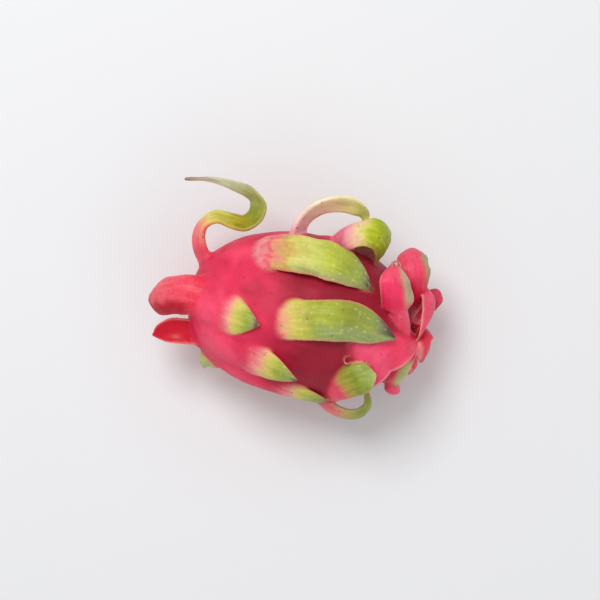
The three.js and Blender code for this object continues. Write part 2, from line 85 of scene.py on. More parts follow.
SCALES = [
    dict(  # long strap at the stem shoulder
        spine=[(-42, 13, 37), (-50, 20, 41), (-53.2, 27, 43), (-52.4, 34, 45), (-47, 38.5, 45),
               (-39.5, 38, 43), (-33, 38, 42), (-28.5, 43, 42), (-28.5, 49, 44), (-33, 53, 47),
               (-40, 54.5, 50), (-51, 55.5, 52), (-65, 53.4, 53)],
        sides=[(0.4, 0.3, 0.8), (0.4, 0.3, 0.8), (0.2, -0.5, 0.8), (0.2, -0.7, 0.6), (0.9, -0.3, 0.4),
               (0.2, 0.8, 0.5), (0, 0.8, 0.6)],
        half=5.2, foot=0.9, widest=0.45, blunt=1.3, cup=0.4, margin=(232, 206, 140, 0.25),
        # Its darker olive middle, from about 0.38 to 0.62, is painted shade over its own green.
        colours={0: (244, 60, 90), 0.15: (250, 92, 112), 0.22: (244, 124, 120), 0.27: (234, 166, 104),
                 0.315: (226, 212, 100), 0.38: (192, 184, 40), 0.46: (156, 140, 8), 0.54: (144, 144, 18),
                 0.62: (146, 160, 58), 0.7: (160, 174, 92), 0.8: (180, 192, 138), 0.9: (204, 202, 170),
                 0.95: (160, 140, 122), 1: (98, 76, 68)}),
    dict(  # broad green scale over the back shoulder
        spine=[(-29, 21, 50), (-22, 26, 62), (-12, 28.5, 68), (0, 29, 71), (12, 27.5, 71), (23, 23.5, 68),
               (31.5, 16.5, 62)],
        sides=[(0, 0.85, -0.45), (0.2, 0.9, -0.4)],
        half=10.4, foot=0.9, widest=0.4, blunt=2.2, cup=0.5, flecks=1.0, fillet=1.2, inner=OLIVE,
        margin=(*ROSY, 0.8), side=(-1, (156, 166, 98), 0.5),
        colours={0: (240, 56, 88), 0.1: (245, 110, 130), 0.17: (246, 150, 152), 0.23: (238, 84, 106),
                 0.28: (232, 150, 122), 0.34: (206, 164, 84), 0.4: (214, 204, 100), 0.5: (206, 208, 104),
                 0.62: (188, 198, 66), 0.76: (160, 174, 60), 0.9: (152, 168, 96), 0.97: (122, 126, 88),
                 1: (84, 76, 62)}),
    dict(  # broad green scale along the top
        spine=[(-15, -5, 65), (-7, -3, 73), (2, -1.5, 77), (14, 0.3, 79), (25, 1, 77), (36, -0.5, 73),
               (45.5, -3, 68)],
        sides=[(0, 1, 0)],
        half=10, foot=0.8, widest=0.45, blunt=1.8, cup=0.5, flecks=0.6, inner=OLIVE, margin=(*ROSY, 0.8),
        side=(-1, (148, 164, 96), 0.9),
        colours={0: (238, 50, 84), 0.1: (244, 104, 118), 0.18: (238, 168, 130), 0.26: (214, 200, 96),
                 0.4: (168, 178, 50), 0.6: (152, 165, 52), 0.78: (144, 160, 78), 0.86: (132, 142, 92),
                 0.92: (106, 100, 80), 0.97: (74, 62, 54), 1: (52, 44, 40)}),
    dict(  # arched scale on the back, which stands on edge
        spine=[(-4, 28, 44), (-8, 36, 46), (-7.5, 42.5, 47), (-4.5, 48, 48), (1, 52.5, 49), (7.5, 55, 49),
               (14, 55.5, 49), (19, 54, 48), (22, 51.5, 46), (22.5, 47, 44)],
        sides=[(0.5, 0.2, -0.8), (0.4, -0.2, -0.9), (0.1, -0.5, -0.8), (-0.6, -0.5, -0.5), (-0.9, 0, -0.3)],
        half=6, foot=1, widest=0.05, blunt=3, cup=0.4, margin=(250, 226, 200, 0.4),
        colours={0: (244, 76, 108), 0.08: (255, 140, 160), 0.16: (255, 184, 196), 0.26: (255, 212, 208),
                 0.34: (255, 228, 206), 0.42: (255, 244, 206), 0.56: (248, 244, 178), 0.7: (238, 244, 152),
                 0.85: (212, 228, 114), 1: (196, 210, 98)}),
    dict(  # hooked scale behind the navel end, its tip rolled under
        spine=[(9.5, 32, 46), (14.4, 39, 57), (19.3, 42.5, 63), (25, 44, 65), (31, 42.5, 62), (34, 39, 54),
               (32.5, 36.5, 48), (27, 36, 46), (20, 36.5, 48)],
        sides=[(-0.4, 0.7, -0.6), (0.1, 0.8, -0.5), (0.2, 0.9, -0.2), (0.3, 0.9, 0), (0.1, 0.9, 0.2)],
        half=7.6, foot=1, widest=0.35, blunt=3.5, cup=0.6, flecks=0.8, inner=MAROON,
        margin=(236, 190, 130, 0.6),
        colours={0: (242, 66, 100), 0.1: (252, 110, 142), 0.2: (255, 162, 178), 0.27: (244, 206, 160),
                 0.34: (210, 204, 84), 0.42: (168, 184, 22), 0.6: (154, 174, 22), 0.75: (136, 148, 40),
                 1: (116, 120, 50)}),
    dict(  # crown: narrow foot, broad blade laid back over the rind
        spine=[(49.3, -3, 44), (47.6, 2.5, 54), (46, 7.5, 61), (44, 12.5, 66), (42.2, 18, 70),
               (40.6, 24, 71), (39.3, 28.5, 67), (38.5, 31, 61)],
        sides=[(-1, 0, 0.2), (-1, -0.2, 0.2)],
        half=8, foot=0.52, widest=0.58, blunt=1.5, cup=0.6, flare=(0.34, 0.42), margin=(*PALE_PINK, 0.6),
        side=(-1, (188, 170, 134), 0.75),
        colours={0: (246, 60, 94), 0.24: (255, 86, 116), 0.33: (252, 84, 114), 0.4: (238, 42, 86),
                 0.65: (246, 52, 98), 0.86: (248, 82, 114), 0.94: (206, 120, 104), 1: (150, 104, 80)}),
    dict(  # crown: tall domed scale at the back of the navel
        spine=[(50, 8.5, 30), (53.5, 16, 42), (52.4, 22, 50), (50.5, 28, 55), (48.8, 33.5, 54),
               (47.5, 38, 47), (47, 40.5, 38)],
        sides=[(-0.95, 0, 0.3), (-0.95, -0.2, 0.2)],
        half=8.6, foot=0.42, widest=0.64, blunt=2.8, cup=0.8, flare=(0.22, 0.55), margin=(*PALE_PINK, 0.1),
        side=(-1, (170, 152, 104), 0.7),
        # The deep crimson of its foot, up to 0.35, is painted shade on the narrow foot.
        colours={0: (216, 22, 62), 0.35: (228, 30, 74), 0.6: (246, 76, 108), 0.8: (243, 52, 92),
                 1: (236, 50, 88)}),
    dict(  # crown: scale on edge beside the navel, folded like a boat
        spine=[(49.5, 18, 31), (55.6, 21.6, 39), (59, 20, 45.5), (60.4, 14, 47.4), (59.8, 7, 47.8),
               (57.6, 1, 46), (54.8, -3.6, 42.5)],
        sides=[(0, -1, 0), (0.3, -0.6, -0.7), (0.55, 0, -0.84), (0.4, 0, -0.92), (-0.1, 0.2, -1),
               (-0.7, 0, -0.5)],
        # Its hollow face, inner, is a deeper crimson: painted shade in the hollow.
        half=5.9, foot=0.8, widest=0.45, blunt=1.3, cup=0.9, thick=(3.6, 1), inner=(184, 44, 64),
        margin=(250, 170, 150, 1.0),
        colours={0: (226, 40, 72), 0.4: (240, 84, 112), 0.75: (236, 76, 104), 0.9: (196, 104, 76),
                 1: (140, 84, 56)}),
    dict(  # crown: short round scale beyond the boat
        spine=[(50, 8, 24), (57.5, 12.5, 28), (60.4, 16.5, 32), (62, 20, 34.5), (62.6, 23.8, 33)],
        sides=[(-0.6, 0.6, 0.4), (-0.8, 0.5, 0.1)],
        half=4.6, foot=0.9, widest=0.5, blunt=3, cup=0.5, margin=(*PALE_PINK, 0.3),
        # Its dark crimson is painted shade over the pink it has of its own.
        colours={0: (214, 24, 62), 0.5: (208, 44, 76), 1: (224, 72, 96)}),
    dict(  # crown: crumpled scale on the front of the navel
        spine=[(49.5, 1, 28), (56, 0.5, 37), (59.6, -2.5, 42), (61, -7.5, 38), (61, -12.5, 29)],
        sides=[(0.3, 0.8, -0.4), (0.9, 0.3, -0.3)],
        half=7, foot=0.8, widest=0.35, blunt=1.3, cup=0.9, margin=(*PALE_PINK, 0.6),
        # Its pale pink right half is painted light on the lit half of the fold, and the crimson of the rest
        # is painted shade.
        side=(-1, (255, 138, 144), 0.9),
        colours={0: (214, 24, 62), 0.4: (232, 40, 74), 0.8: (236, 60, 88), 1: (222, 40, 72)}),
    dict(  # broad scale laid back over the front shoulder of the navel end
        spine=[(50, 2, 40), (47.5, -2, 54), (42, -6.5, 63.5), (36.8, -12, 66), (33.4, -18.2, 63.2),
               (31.5, -24, 57), (31, -29, 48.5)],
        sides=[(0.9, -0.42, 0), (0.78, -0.62, -0.45), (0.8, -0.55, -0.5)],
        half=13.4, foot=0.6, widest=0.45, blunt=2.2, cup=0.3, fillet=1.6, margin=(*PALE_PINK, 0.8),
        colours={0: (246, 52, 90), 0.3: (250, 64, 102), 0.5: (252, 84, 120), 0.75: (248, 66, 106),
                 1: (230, 34, 76)}),
    dict(  # short round green scale on the front shoulder
        spine=[(19.5, -33, 45), (22.1, -30.5, 55), (26.2, -27.5, 62), (30.8, -25, 65.6), (35.6, -22.7, 66.8),
               (39.6, -21, 65)],
        sides=[(-0.5, 0.8, 0.35), (-0.45, 0.85, 0.1)],
        half=8.6, foot=0.7, widest=0.5, blunt=2, cup=0.5, flecks=0.5, inner=OLIVE, margin=(*ROSY, 0.8),
        colours={0: (238, 46, 82), 0.26: (240, 66, 98), 0.34: (222, 120, 92), 0.4: (166, 158, 60),
                 0.55: (136, 150, 42), 0.8: (152, 168, 76), 1: (186, 198, 130)}),
    dict(  # curled scale along the front
        spine=[(13, -35, 30), (21.5, -41, 33), (29, -43, 34), (35.5, -42, 35), (39.2, -37.2, 36),
               (38, -32, 37), (34, -29.5, 38)],
        sides=[(0, 0.2, 0.98), (0, 0.3, 0.95), (-0.4, 0.3, 0.85), (-0.7, -0.1, 0.7)],
        half=5.6, foot=1, widest=0.1, blunt=1.5, cup=0.5, inner=(150, 140, 70), margin=(222, 214, 160, 0.7),
        colours={0: (240, 74, 100), 0.18: (236, 110, 116), 0.3: (206, 150, 108), 0.4: (176, 168, 84),
                 0.55: (142, 160, 58), 0.8: (158, 172, 70), 1: (180, 186, 112)}),
    dict(  # crown: folded scale with a rolled tip, hanging down the front
        spine=[(49, -1, 36), (52.8, -6, 43), (52.2, -12, 45.5), (50.8, -18, 44.5), (49.4, -23, 42),
               (49.2, -26.5, 37.5)],
        sides=[(0.8, 0.2, 0.4), (0.9, 0.1, -0.2)],
        half=4.8, foot=0.6, widest=0.5, blunt=3, cup=0.9, margin=(252, 186, 170, 0.8),
        side=(1, (192, 198, 126), 1.2),
        colours={0: (238, 44, 80), 0.5: (226, 36, 74), 0.8: (240, 96, 116), 1: (228, 52, 84)}),
    dict(  # its tip, rolled up into a bead
        spine=[(50.2, -23.4, 38.8), (49.3, -26.4, 38), (48.6, -29.4, 36)],
        sides=[(1, 0.1, 0)],
        half=3.8, foot=0.95, widest=0.4, blunt=4, cup=0.3, thick=(6.6, 6.4), rounded=0.5,
        margin=(250, 170, 160, 0.5),
        colours={0: (246, 124, 138), 0.35: (255, 92, 122), 0.7: (252, 76, 110), 1: (255, 190, 180)}),
    dict(  # thick blunt scale over the stem end
        spine=[(-35, 1.5, 49), (-44, 1.2, 55.5), (-53, 0.6, 57), (-61, -0.8, 54.5), (-67.5, -2.8, 49),
               (-72, -5, 40.5)],
        sides=[(0, -1, 0)],
        half=10.5, foot=0.9, widest=0.5, blunt=5, cup=0.9, mottled=1.0, margin=(*PALE_PINK, 0.3),
        # The deep crimson along its left edge is painted shade, on the side that bends down away from the
        # light.
        side=(1, (172, 2, 32), 0.9),
        colours={0: (236, 34, 68), 0.3: (240, 44, 76), 0.5: (246, 84, 102), 0.8: (246, 100, 112),
                 1: (238, 84, 98)}),
    dict(  # scale at the stem end that shows its hollow side
        spine=[(-38, -16, 32), (-46, -16, 39), (-54, -16.5, 42), (-61.3, -18.4, 41), (-67.8, -21.8, 37.5)],
        sides=[(0, 1, 0.1), (0.2, 0.9, 0.3)],
        half=7.2, foot=0.9, widest=0.5, blunt=1.4, cup=0.9, thick=(4, 1.1), inner=(206, 2, 40),
        margin=(250, 120, 116, 0.9),
        colours={0: (190, 14, 42), 0.5: (206, 18, 44), 1: (236, 70, 66)}),
    dict(  # short scale on the front of the stem end
        spine=[(-31, -19, 28), (-35.5, -24, 34), (-38.8, -27.2, 35.5), (-41, -30, 33), (-41.5, -33, 28)],
        sides=[(0.7, -0.5, 0.5), (0.9, -0.3, 0.2)],
        half=6, foot=1, widest=0.2, blunt=1.6, cup=0.5, inner=OLIVE, margin=(*ROSY, 0.6),
        colours={0: (238, 50, 84), 0.3: (236, 130, 120), 0.45: (206, 190, 130), 0.6: (176, 186, 112),
                 1: (168, 182, 110)}),
]

# Scales that simply follow the rind, as in the CAD model: x of the foot, turn round the fruit from the top
# towards -Y, length, half width, slope of the tip against the rind at the foot, and how far the scale slants
# round the fruit. Turn, slope and slant are in degrees.
SEATED = [
    (-41, 8, 28, 9, -14, 4),
    (-28, 40, 34, 9.5, -10, 4),
    (-12, 70, 33, 9.5, -8, 2),
    (-40, 123, 28, 8.5, -16, -4),
    (-14, 114, 29, 9, -8, -3),
    (20, 128, 26, 8, -3, 4),
    (-42, 246, 27, 8.5, -24, 3),
    (-14, 232, 30, 9, -6, 2),
    (0, 258, 28, 8.5, -24, -4),
    (27, 236, 26, 8, -3, 2),
]
SEAT_CLIMB, SEAT_DEPTH = 14.0, 3.0  # the slope at the foot, in degrees, and how deep the foot starts
SEAT_POINTS = 6
SEATED_COLOURS = {0: (238, 46, 80), 0.22: (243, 72, 102), 0.38: (246, 134, 138), 0.48: (236, 182, 128),
                  0.58: (206, 200, 88), 0.74: (162, 176, 64), 0.9: (148, 158, 88), 0.95: (112, 94, 72),
                  1: (88, 68, 56)}

# Scales of the crown's lower side, bent out and back over the rind, as in the CAD model: turn, half width
# and size
BENT_BACK = [(146, 6.5, 1.05), (187, 7.6, 0.95), (228, 6.5, 1.0)]
BENT_FOOT = (47.0, 9.5)  # x, and how far out from the axis through stem and navel
BENT_STEPS = [(0, 0), (7, 5), (11, 10.5), (10.5, 16), (6.5, 20), (1.5, 22.5)]  # from there, at size 1
# Their deep crimson near the foot is painted shade under the crown; the brown tip is dried.
BENT_COLOURS = {0: (214, 24, 62), 0.3: (230, 38, 76), 0.6: (242, 72, 104), 0.88: (236, 60, 92),
                1: (150, 76, 66)}

# ---- Dried ends, too small for the CAD model ----
# Thin tips rolled into rings: centre, radius, start and end of the curl in degrees round +Z
CURLS = [((39.6, 30.2, 65.5), 2.6, -70, 250), ((25.6, -16.6, 66.5), 2.5, 20, 330)]
CURL_POINTS, CURL_TIGHTENS, CURL_DRIFT = 9, 0.62, 0.6  # its end's share of the radius, and half its climb
STRANDS, STRAND_LENGTH, STRAND_RADIUS = 7, 10.0, 2.4  # what is left of the flower, in the navel
STRAND_STEPS = [(0, 0), (0.4, 0.03), (0.8, 0.12), (1.0, 0.22)]  # ahead and outwards, as shares of its length

# ---- How finely it is made ----
VOXEL = 0.45
BAND_VOXELS = 7
BAND = BAND_VOXELS * VOXEL  # how far from a surface distances are known
RIND_RINGS, RIND_AROUND = 200, 240
SECTION_POINTS = 48
RINGS_PER_MM, FEWEST_RINGS = 1.6, 16
SECTION_FULLNESS = 2.2  # exponent of a scale's section: 2 is an ellipse, more has fuller edges
THINNING = 1.3  # how early a scale gets thin: 1 is evenly from foot to tip
FOOT_ROUNDED, TIP_ROUNDED = 0.03, 0.015  # the share of its length over which a scale's ends are rounded off
WAVE_SIZE, WAVE_WIDENS, WAVE_LIFTS = 17, 0.06, 0.5  # how the scales' margins wave, across and up
GROOVE_DEPTH, GROOVE_WIDTH = 0.35, 0.16  # along the outer face's middle; the width is a share of the scale's
RIB_SPACING, RIB_HEIGHT, RIB_WANDER = 2.7, 0.13, 2.0  # lengthwise ribs on the outer face; wander in radians
LIVELY_HALF = 6.0  # half width from which a scale has all of its waves, groove and ribs
TINY = 1e-6  # keeps a scale's ends, which have no width, from dividing by nothing
FILLET = 3.4  # how broadly a scale's foot flows into the rind
FILLET_CENTRE, FILLET_CORE = 0.12, 0.6  # its middle along a scale; its core, as a share of half the width
FILLET_FADES, FILLET_ENDS = 4.55, 13.0  # distances beyond that core
CREASE = 0.5  # what is left of it where scales only touch
STEM_FILLET = 1.5
SMOOTHING_ROUNDS, PULL, PUSH = 6, 0.5, -0.52
RESTS_BELOW = 0.6 * VOXEL  # points lower than this belong to the flat spot, and smoothing keeps them level
FIRST_SCALE_SEED, RIB_SEEDS_LATER, FIRST_STRAND_SEED = 100, 50, 50

# ---- How the colours are laid down ----
# The rind's colour stops run from painted shade, deep crimson between the scales, to painted light, bright
# pink where lit.
RIND_SHADE_TO_LIGHT = {0.0: (158, 14, 44), 0.25: (190, 24, 60), 0.65: (232, 44, 86), 0.95: (250, 76, 110)}
RIDGE_PAINTED_LIGHT, STEM_END_PAINTED_LIGHT, PATCH_TONE, CLOUD_TONE = 0.85, 0.6, 0.07, 0.1  # what each adds along the rind's colour stops: painted light on the ridges and towards the stem end, then random patches and clouds
STEM_END_FROM, STEM_END_TO = 10, -32  # x between which the rind gets brighter, as painted light
STEM_COLOUR, NAVEL_COLOUR = (158, 130, 90), (92, 24, 34)
UNEVEN = 0.03  # how far patches and streaks shift a scale's colours, as a share of its length
MARGIN_FROM, MARGIN_FULL = 0.84, 0.95  # share of half the width
GRAIN_APART = 40.0  # added from scale to scale, so that each has a grain of its own


# ---- Small sums ----
WAVES, WAVES_TOGETHER = 6, 3.4  # how many waves a random field is made of, and about how high they add up


def smoothstep(low, high, value):
    t = np.clip((value - low) / (high - low), 0, 1)
    return t * t * (3 - 2 * t)


def unit(vectors):
    return vectors / np.linalg.norm(vectors, axis=-1, keepdims=True)


def mixed(share, a, b):
    """Colour a where share is 0, b where it is 1, and a mixture between."""
    share = np.asarray(share)[..., None]
    return a * (1 - share) + b * share


def linear(colour):
    """A colour given from 0 to 255 as it looks on a screen, as the amounts of light it stands for."""
    share = np.asarray(colour, float) / 255
    return np.where(share <= 0.04, share / 12.92, ((share + 0.055) / 1.055) ** 2.4)


def turned(vector, axis, angle):
    """vector turned about a unit axis, by the right-hand rule."""
    return (vector * math.cos(angle) + np.cross(axis, vector) * math.sin(angle)
            + axis * np.dot(axis, vector) * (1 - math.cos(angle)))


def catmull_rom(points, t):
    """The smooth curve through the points, at each t from 0 to 1."""
    points = np.asarray(points, float)
    if len(points) == 1:
        return np.repeat(points, len(t), axis=0)
    ends = np.vstack([2 * points[0] - points[1], points, 2 * points[-1] - points[-2]])
    place = np.clip(t, 0, 1) * (len(points) - 1)
    i = np.minimum(place.astype(int), len(points) - 2)
    w = (place - i)[:, None]
    a, b, c, d = (ends[i + k] for k in range(4))
    start, end = (c - a) / 2, (d - b) / 2
    return b + start * w + (3 * (c - b) - 2 * start - end) * w**2 + (2 * (b - c) + start + end) * w**3


def wobble(points, size, seed):
    """A smooth random field from about -1 to 1 that changes over the given size, made of crossing waves."""
    dice = np.random.default_rng(seed)
    total = np.zeros(points.shape[:-1])
    for _ in range(WAVES):
        direction = unit(dice.normal(size=points.shape[-1]))
        stretch = dice.uniform(0.6, 1.5) * 2 * math.pi / size
        total += np.sin(points @ direction * stretch + dice.uniform(0, 2 * math.pi))
    return total / WAVES_TOGETHER


def shaded(stops, place):
    """The colour at each place along a row of colour stops."""
    shades = linear(list(stops.values()))
    return np.stack([np.interp(place, list(stops), shades[:, channel]) for channel in range(3)], axis=-1)


# ---- The rind ----
def signed_power(value, power):
    """value raised to a power, with its sign kept."""
    return np.sign(value) * np.abs(value) ** power


def rind_point(from_navel, turn):
    """A point of the plain rind, from its angle to the navel and its turn round the fruit from the top."""
    reach = np.abs(np.sin(from_navel)) ** FULLNESS
    dip = NAVEL_DEPTH * np.clip(1 - (reach / NAVEL_RADIUS) ** 2, 0, 1) ** 2
    dip = np.where(from_navel < math.pi / 2, dip, 0)
    return CENTRE + np.stack([
        LENGTH / 2 * signed_power(np.cos(from_navel), FULLNESS) - dip,
        -BREADTH / 2 * reach * np.sin(turn),
        HEIGHT / 2 * reach * np.cos(turn),
    ], axis=-1)


def seated_scale(x, turn, length, half, rise, lean):
    """A scale whose spine climbs away from the rind in the plane of the rind's normal."""
    from_navel = math.acos(signed_power(x / (LENGTH / 2), 1 / FULLNESS))
    turn = math.radians(turn)
    step = 0.01
    along = rind_point(from_navel + step, turn) - rind_point(from_navel - step, turn)
    round_it = rind_point(from_navel, turn + step) - rind_point(from_navel, turn - step)
    normal = unit(np.cross(along, round_it))
    heading = unit(rind_point(from_navel - 2 * step, turn) - rind_point(from_navel, turn))
    heading = turned(heading, normal, -math.radians(lean))
    at = rind_point(from_navel, turn) - SEAT_DEPTH * normal
    spine = []
    for i in range(SEAT_POINTS):
        spine.append(at)
        climb = math.radians(SEAT_CLIMB + (rise - SEAT_CLIMB) * i / (SEAT_POINTS - 2))
        at = at + length / (SEAT_POINTS - 1) * (heading * math.cos(climb) + normal * math.sin(climb))
    return dict(spine=spine, sides=[np.cross(normal, heading)], half=half, foot=0.85, widest=0.3, blunt=1.3,
                cup=0.5, flecks=0.5, inner=OLIVE, margin=(*ROSY, 0.7), colours=SEATED_COLOURS)


def bent_back_scale(turn, half, size):
    """A scale whose spine leaves the navel's edge and bends outwards, in the plane of the fruit's axis."""
    turn = math.radians(turn)
    outward = np.array([0, -math.sin(turn), math.cos(turn)])
    foot_x, foot_out = BENT_FOOT
    spine = [np.array([foot_x + size * ahead, *CENTRE[1:]]) + (foot_out + size * out) * outward
             for ahead, out in BENT_STEPS]
    return dict(spine=spine, sides=[np.cross((1, 0, 0), outward)], half=half, foot=0.7, widest=0.45,
                blunt=1.5, cup=0.5, margin=(*PALE_PINK, 0.6), colours=BENT_COLOURS)


SCALES += [seated_scale(*seat) for seat in SEATED]
SCALES += [bent_back_scale(*bent) for bent in BENT_BACK]


def ridge_lift(points):
    """How far the ridges behind the scales' feet lift the rind at each point, from 0 to 1."""
    lift = np.zeros(points.shape[:-1])
    for scale in SCALES:
        foot, after = np.array(scale["spine"][:2], float)
        outward = unit(foot - CENTRE)
        ahead = after - foot
        ahead = unit(ahead - (ahead @ outward) * outward)
        away = points - foot + RIDGE_BEHIND * ahead
        along = away @ ahead
        across = np.linalg.norm(away - along[..., None] * ahead, axis=-1)
        lift = np.maximum(lift, np.exp(-((along / RIDGE_LENGTH) ** 2) - (across / RIDGE_WIDTH) ** 2))
    return lift


def closed_rings(rings):
    """Points and quads of a closed tube: its first and last rings each shrink to a point."""
    count, around = rings.shape[:2]
    i, j = np.meshgrid(np.arange(count - 1), np.arange(around), indexing="ij")
    here, after = i * around, (i + 1) * around
    beside = (j + 1) % around
    quads = np.stack([here + j, here + beside, after + beside, after + j], axis=-1)
    return rings.reshape(-1, 3), quads.reshape(-1, 4)


def rind_loft():
    """The rind with the ridges behind its scales' feet and its slight unevenness."""
    from_navel = np.linspace(0, math.pi, RIND_RINGS)
    turn = np.linspace(0, 2 * math.pi, RIND_AROUND, endpoint=False)
    from_navel, turn = np.meshgrid(from_navel, turn, indexing="ij")
    points = rind_point(from_navel, turn)
    outward = unit(points - CENTRE)
    swell = RIDGE_HEIGHT * ridge_lift(points)
    for height, size, seed in SWELLS:
        swell = swell + height * wobble(points, size, seed)
    return closed_rings(points + outward * swell[..., None])


def stem_loft():
    """The cut stub that joined the fruit to its plant, with a slightly hollow end."""
    start, end = -LENGTH / 2 + STEM_INSIDE, -LENGTH / 2 - STEM_STANDS_OUT
    outline = [(start, 0), (start, 1), (end + 0.6, 0.96), (end, 0.85), (end + 0.8, 0.5), (end + 1.1, 0)]
    turn = np.linspace(0, 2 * math.pi, SECTION_POINTS, endpoint=False)
    ragged = STEM_RADIUS * (1 + 0.05 * np.sin(3 * turn) + 0.03 * np.sin(7 * turn + 1))
    rings = []
    for x, share in outline:
        y, z = share * ragged * np.cos(turn), share * ragged * np.sin(turn)
        rings.append(np.stack([np.full_like(turn, x), y, CENTRE[2] + z], axis=-1))
    return closed_rings(np.array(rings))


# ---- Dried ends ----
def curl(centre, radius, start, end):
    """A thin dried tip rolled into a level ring, tighter towards its end."""
    turns = np.radians(np.linspace(start, end, CURL_POINTS))
    reach = radius * np.linspace(1, CURL_TIGHTENS, CURL_POINTS)
    climb = np.linspace(-CURL_DRIFT, CURL_DRIFT, CURL_POINTS)
    spine = np.array(centre) + np.stack([reach * np.cos(turns), reach * np.sin(turns), climb], axis=-1)
    return dict(spine=spine, sides=[(0, 0, 1)], half=0.95, foot=0.9, widest=0.4, blunt=2, cup=0.2,
                thick=(1.2, 1.0), fillet=0.4, worn=0.3, inner=(206, 60, 50), margin=(246, 190, 170, 0.8),
                colours={0: (214, 92, 88), 0.5: (196, 96, 80), 1: (128, 74, 56)})


def strand(number):
    """A dried strip of the flower, standing in the navel and leaning outwards a little."""
    dice = np.random.default_rng(FIRST_STRAND_SEED + number)
    turn = 2 * math.pi * number / STRANDS + dice.uniform(-0.3, 0.3)
    outward = np.array([0, math.cos(turn), math.sin(turn)])
    length = STRAND_LENGTH * dice.uniform(0.75, 1)
    up = np.array([1.0, 0, 0])
    foot = CENTRE + up * (LENGTH / 2 - NAVEL_DEPTH - 2) + outward * STRAND_RADIUS
    spine = [foot + length * (up * ahead + outward * out) for ahead, out in STRAND_STEPS]
    return dict(spine=spine, sides=[np.cross(outward, up)], half=1.5, foot=0.9, widest=0.3, blunt=1.4,
                cup=0.6, thick=(1.5, 1.1), fillet=0.8, worn=0.8, inner=(150, 112, 82),
                margin=(176, 140, 104, 0.4),
                colours={0: (150, 84, 70), 0.4: (152, 112, 82), 1: (104, 76, 56)})


GROWTHS = SCALES + [curl(*place) for place in CURLS] + [strand(number) for number in range(STRANDS)]


# ---- A scale ----
def half_widths(scale, along):
    """Half a scale's width at each place along it."""
    if "flare" in scale:
        opening = smoothstep(*scale["flare"], along)
    else:
        opening = np.sin(math.pi / 2 * along / scale["widest"])
    past = np.clip((along - scale["widest"]) / (1 - scale["widest"]), 0, 1)
    closing = np.cos(math.pi / 2 * past ** scale["blunt"])
    share = np.where(along < scale["widest"], scale["foot"] + (1 - scale["foot"]) * opening, closing)
    return np.maximum(scale["half"] * share, min(TIP_HALF_WIDTH, scale["half"] / 2))


def rounded_off(share):
    """A quarter circle's height: 0 where share is 0, and 1 from where it is 1."""
    return np.sqrt(1 - np.clip(1 - share, 0, 1) ** 2)


def scale_loft(scale, seed):
    """A scale's points and quads, and each point's marks: how far along, across and through it that lies as
    shares of the whole, and how far along and across it in millimetres."""
    spine = np.array(scale["spine"], float)
    length = np.linalg.norm(np.diff(spine, axis=0), axis=1).sum()
    along = np.linspace(0, 1, max(FEWEST_RINGS, int(length * RINGS_PER_MM)))
    middle = catmull_rom(spine, along)
    ahead = unit(catmull_rom(spine, along + 1e-3) - catmull_rom(spine, along - 1e-3))
    side = catmull_rom(scale["sides"], along)
    side = unit(side - (side * ahead).sum(1, keepdims=True) * ahead)
    outward = np.cross(ahead, side)

    at_foot, at_tip = scale.get("thick", (FOOT_THICKNESS, TIP_THICKNESS))
    rounding = rounded_off(along / scale.get("rounded", FOOT_ROUNDED)) * rounded_off(
        (1 - along) / scale.get("rounded", TIP_ROUNDED))
    half = (half_widths(scale, along) * rounding)[:, None]
    thickness = ((at_tip + (at_foot - at_tip) * (1 - along) ** THINNING) * rounding)[:, None]

    # Across and through are from -1 to 1, from edge to edge and from the hollow face to the outer one.
    angle = np.linspace(0, 2 * math.pi, SECTION_POINTS, endpoint=False)
    across, along = np.meshgrid(signed_power(np.cos(angle), 2 / SECTION_FULLNESS), along)
    through = np.broadcast_to(signed_power(np.sin(angle), 2 / SECTION_FULLNESS), across.shape)
    along_mm, across_mm = along * length, across * half
    lively = min(1, scale["half"] / LIVELY_HALF)
    wave = lively * wobble(np.stack([along_mm, np.sign(across) * 40], axis=-1), WAVE_SIZE, seed)
    wave = wave * np.abs(across) ** 3
    groove = -GROOVE_DEPTH * lively * np.exp(-((across / GROOVE_WIDTH) ** 2))
    groove = groove * smoothstep(0.1, 0.4, along) * (through > 0)
    wander = RIB_WANDER * wobble(np.stack([along_mm, across * 9], axis=-1), 30, seed + RIB_SEEDS_LATER)
    ribs = RIB_HEIGHT * lively * np.sin(across_mm * 2 * math.pi / RIB_SPACING + wander)
    ribs = ribs * smoothstep(0.12, 0.3, along) * (1 - np.abs(across) ** 4) * (through > 0)

    bend = half / scale["cup"] + TINY
    reach = bend + through * thickness / 2
    sideways = reach * np.sin(across * scale["cup"]) * half * (1 + WAVE_WIDENS * wave) / (half + TINY)
    up = reach * np.cos(across * scale["cup"]) - bend + WAVE_LIFTS * wave * smoothstep(0.2, 0.6, along)
    up = up + groove + ribs
    rings = middle[:, None] + sideways[..., None] * side[:, None] + up[..., None] * outward[:, None]
    points, quads = closed_rings(rings)
    marks = np.stack([along, across, through, along_mm, across_mm], axis=-1).reshape(-1, 5)
    return points, quads, marks


# ---- Joining as distance fields ----
first_cell = np.floor(lowest / VOXEL).astype(int) - 2 * BAND_VOXELS
cells = np.ceil(highest / VOXEL).astype(int) + 2 * BAND_VOXELS - first_cell
transform = openvdb.createLinearTransform(VOXEL)


def whole_numbers(values):
    return tuple(int(value) for value in values)


